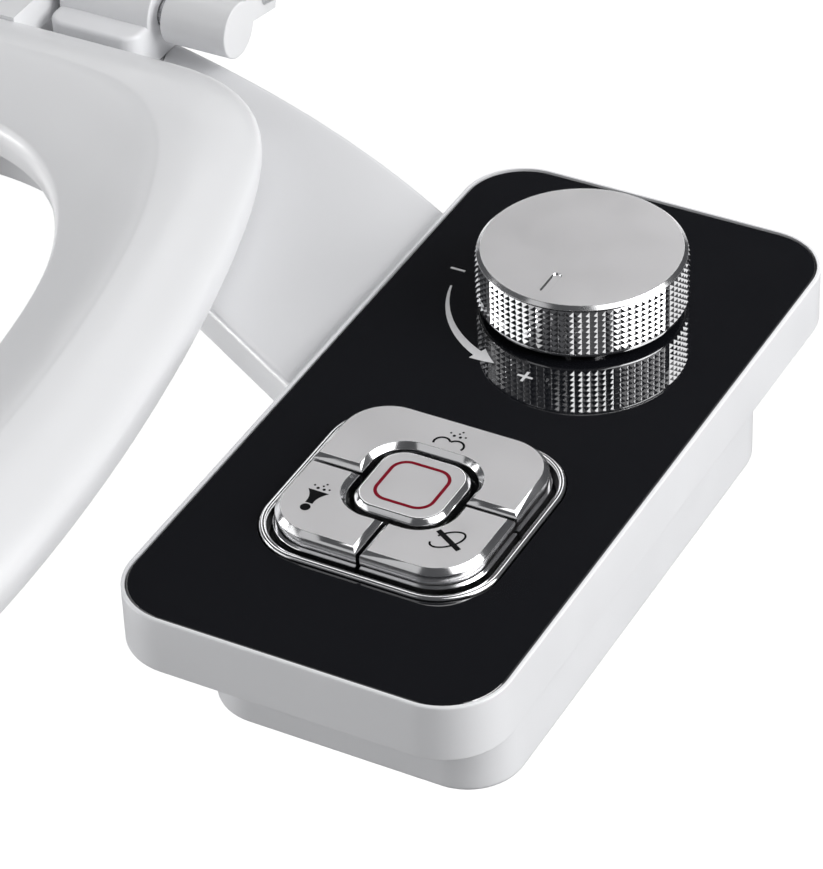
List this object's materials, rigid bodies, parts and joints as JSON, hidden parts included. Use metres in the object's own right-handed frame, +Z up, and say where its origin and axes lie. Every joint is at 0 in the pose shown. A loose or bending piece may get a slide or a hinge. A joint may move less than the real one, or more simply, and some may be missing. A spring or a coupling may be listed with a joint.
{
  "type": "bidet seat",
  "caption": "Water-powered bidet seat: hinged ring and raised lid on a thin base plate, with a nozzle unit and a side panel of glass, press keys and a knurled flow knob.",
  "frame": {"origin": "midway between the two seat bolts, on the underside of the base cover, which is the plane of the bowl's rim", "axes": "+X along the arm to the control panel, +Y to the tank, -Y to the front of the bowl, +Z up"},
  "size_m": [0.4661, 0.5527, 0.531],
  "materials": {
    "white_abs": "satin moulded white plastic",
    "seat_white": "smooth glossy white plastic",
    "nozzle_white": "smooth white plastic",
    "black_glass": "polished black back-painted glass",
    "satin_metal": "fine satin with polished edges",
    "chrome": "polished plating",
    "black_plastic": "matt black moulding",
    "steel": "plain stainless steel",
    "brass": "turned brass",
    "white_ceramic": "ground alumina",
    "grey_rubber": "matt soft rubber",
    "hose_plastic": "milky flexible tube",
    "block_plastic": "glass-filled moulding"
  },
  "bodies": {
    "frame": {"base_plate": "white_abs", "base_cover": "white_abs", "panel_shell": "white_abs", "lower_case": "white_abs", "nozzle_housing": "white_abs", "adjuster_disc_left": "white_abs", "adjuster_disc_right": "white_abs", "hinge_post_left": "white_abs", "hinge_post_right": "white_abs", "wing_nut_left": "white_abs", "wing_nut_right": "white_abs", "panel_glass": "black_glass", "key_bezel": "chrome", "key_tray": "black_plastic", "rear_nozzle_gland": "black_plastic", "front_nozzle_gland": "black_plastic", "rear_key_spring": "steel", "clean_key_spring": "steel", "front_key_spring": "steel", "stop_key_spring": "steel", "rear_nozzle_spring": "steel", "front_nozzle_spring": "steel", "case_screw_1": "steel", "case_screw_2": "steel", "case_screw_3": "steel", "case_screw_4": "steel", "hinge_pin_left": "steel", "hinge_pin_right": "steel", "seat_bolt_left": "steel", "seat_bolt_right": "steel", "cartridge_body": "brass", "inlet_fitting": "brass", "fixed_disc": "white_ceramic", "rear_wash_hose": "hose_plastic", "cleaning_hose": "hose_plastic", "front_wash_hose": "hose_plastic", "valve_block": "block_plastic"},
    "ring": {"seat_ring": "seat_white", "ring_bumper_front_left": "grey_rubber", "ring_bumper_front_right": "grey_rubber", "ring_bumper_side_left": "grey_rubber", "ring_bumper_side_right": "grey_rubber"},
    "lid": {"lid": "seat_white", "lid_bumper_left": "grey_rubber", "lid_bumper_right": "grey_rubber"},
    "knob": {"knob_body": "chrome", "knob_cap": "satin_metal", "spindle": "brass", "moving_disc": "white_ceramic"},
    "rear_key": {"rear_key": "satin_metal", "rear_key_stem": "black_plastic"},
    "clean_key": {"clean_key": "satin_metal", "clean_key_stem": "black_plastic"},
    "front_key": {"front_key": "satin_metal", "front_key_stem": "black_plastic"},
    "stop_key": {"stop_key": "satin_metal", "stop_key_stem": "black_plastic"},
    "rear_nozzle": {"rear_nozzle": "nozzle_white"},
    "front_nozzle": {"front_nozzle": "nozzle_white"},
    "gate": {"nozzle_gate": "seat_white"}
  },
  "joints": [
    {"name": "lid_hinge", "type": "hinge", "parent": "frame", "child": "lid", "pos_m": [0, 0.008, 0.023], "axis": [-1, 0, 0], "range_deg": [-101, 0]},
    {"name": "ring_hinge", "type": "hinge", "parent": "frame", "child": "ring", "pos_m": [0, 0.008, 0.023], "axis": [-1, 0, 0], "range_deg": [0, 95]},
    {"name": "knob_turn", "type": "hinge", "parent": "frame", "child": "knob", "pos_m": [0.2396, -0.0538, 0.0223], "axis": [0, 0, 1], "range_deg": [-90, 0]},
    {"name": "rear_key_press", "type": "slide", "parent": "frame", "child": "rear_key", "axis": [0, 0, -1], "range_m": [0, 0.0025], "stiffness_N_per_m": 400, "springref_m": -0.003, "deforming": ["rear_key_spring"]},
    {"name": "clean_key_press", "type": "slide", "parent": "frame", "child": "clean_key", "axis": [0, 0, -1], "range_m": [0, 0.0025], "stiffness_N_per_m": 400, "springref_m": -0.003, "deforming": ["clean_key_spring"]},
    {"name": "front_key_press", "type": "slide", "parent": "frame", "child": "front_key", "axis": [0, 0, -1], "range_m": [0, 0.0025], "stiffness_N_per_m": 400, "springref_m": -0.003, "deforming": ["front_key_spring"]},
    {"name": "stop_key_press", "type": "slide", "parent": "frame", "child": "stop_key", "axis": [0, 0, -1], "range_m": [0, 0.0025], "stiffness_N_per_m": 400, "springref_m": -0.003, "deforming": ["stop_key_spring"]},
    {"name": "rear_nozzle_slide", "type": "slide", "parent": "frame", "child": "rear_nozzle", "axis": [0, 0, -1], "range_m": [0, 0.03], "stiffness_N_per_m": 40, "springref_m": -0.02, "deforming": ["rear_nozzle_spring"]},
    {"name": "front_nozzle_slide", "type": "slide", "parent": "frame", "child": "front_nozzle", "axis": [0, 0, -1], "range_m": [0, 0.03], "stiffness_N_per_m": 40, "springref_m": -0.02, "deforming": ["front_nozzle_spring"]},
    {"name": "gate_hinge", "type": "hinge", "parent": "frame", "child": "gate", "pos_m": [0, -0.067, 0.0005], "axis": [-1, 0, 0], "range_deg": [0, 60]}
  ]
}
